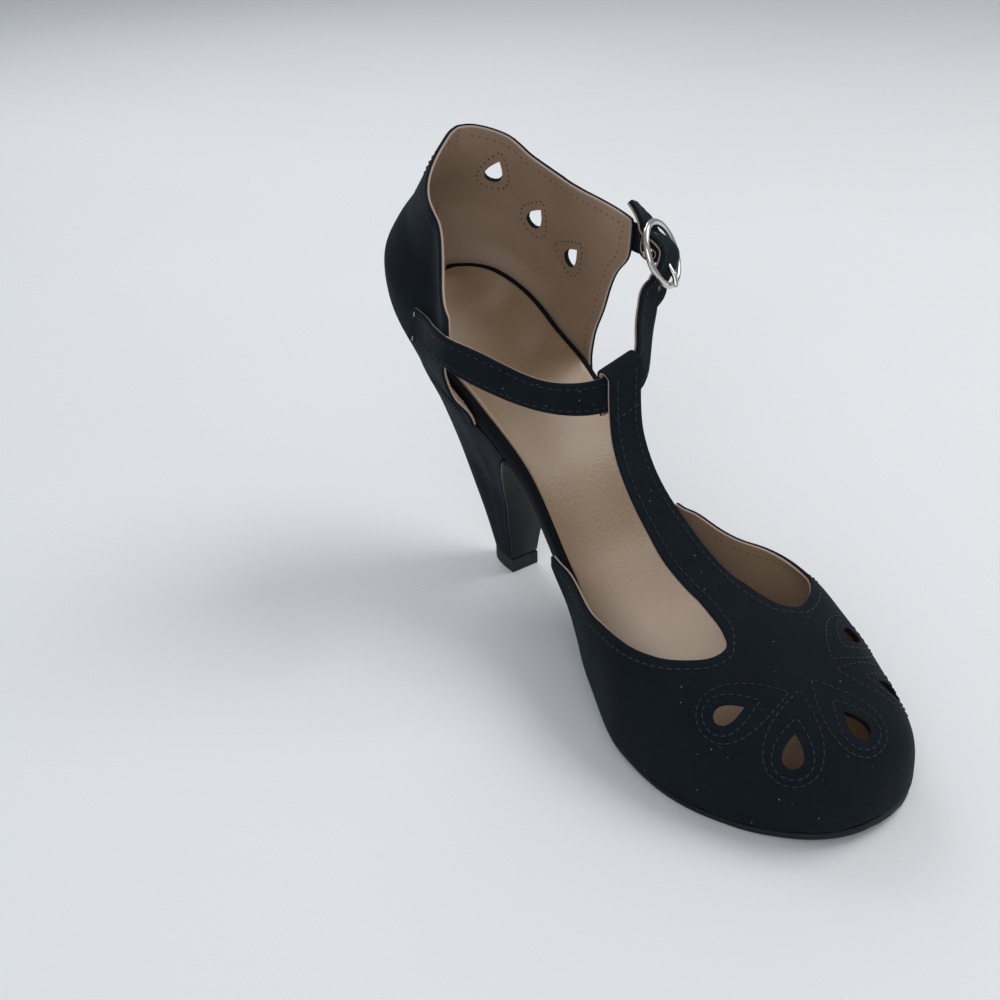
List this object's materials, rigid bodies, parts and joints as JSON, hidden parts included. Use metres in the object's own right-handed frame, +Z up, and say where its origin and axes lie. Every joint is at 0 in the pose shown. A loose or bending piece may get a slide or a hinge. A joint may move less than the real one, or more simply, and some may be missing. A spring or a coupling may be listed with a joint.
{
  "type": "high heel shoe",
  "caption": "Left high heel shoe with a closed round toe, open sides, a T-strap with an ankle strap and a buckle.",
  "frame": {"origin": "on the floor, under the middle of the heel's tip, on the underside of the top lift", "axes": "+X towards the toe, +Y to the outer side of this left shoe, +Z up from the floor"},
  "size_m": [0.2233, 0.0872, 0.1625],
  "materials": {
    "suede": "napped, matt, very dark navy",
    "sock": "smooth tan synthetic leather with fine pores",
    "outsole": "smooth black synthetic",
    "top_lift": "matt dark grey",
    "buckle": "polished nickel"
  },
  "bodies": {
    "root": {"outsole": "outsole", "insole_board": "suede", "sock": "sock", "heel": "suede", "top_lift": "top_lift", "vamp": "suede", "quarter": "suede", "ankle_strap": "suede", "buckle_strap": "suede", "buckle_frame": "buckle", "buckle_prong": "buckle"}
  },
  "joints": []
}
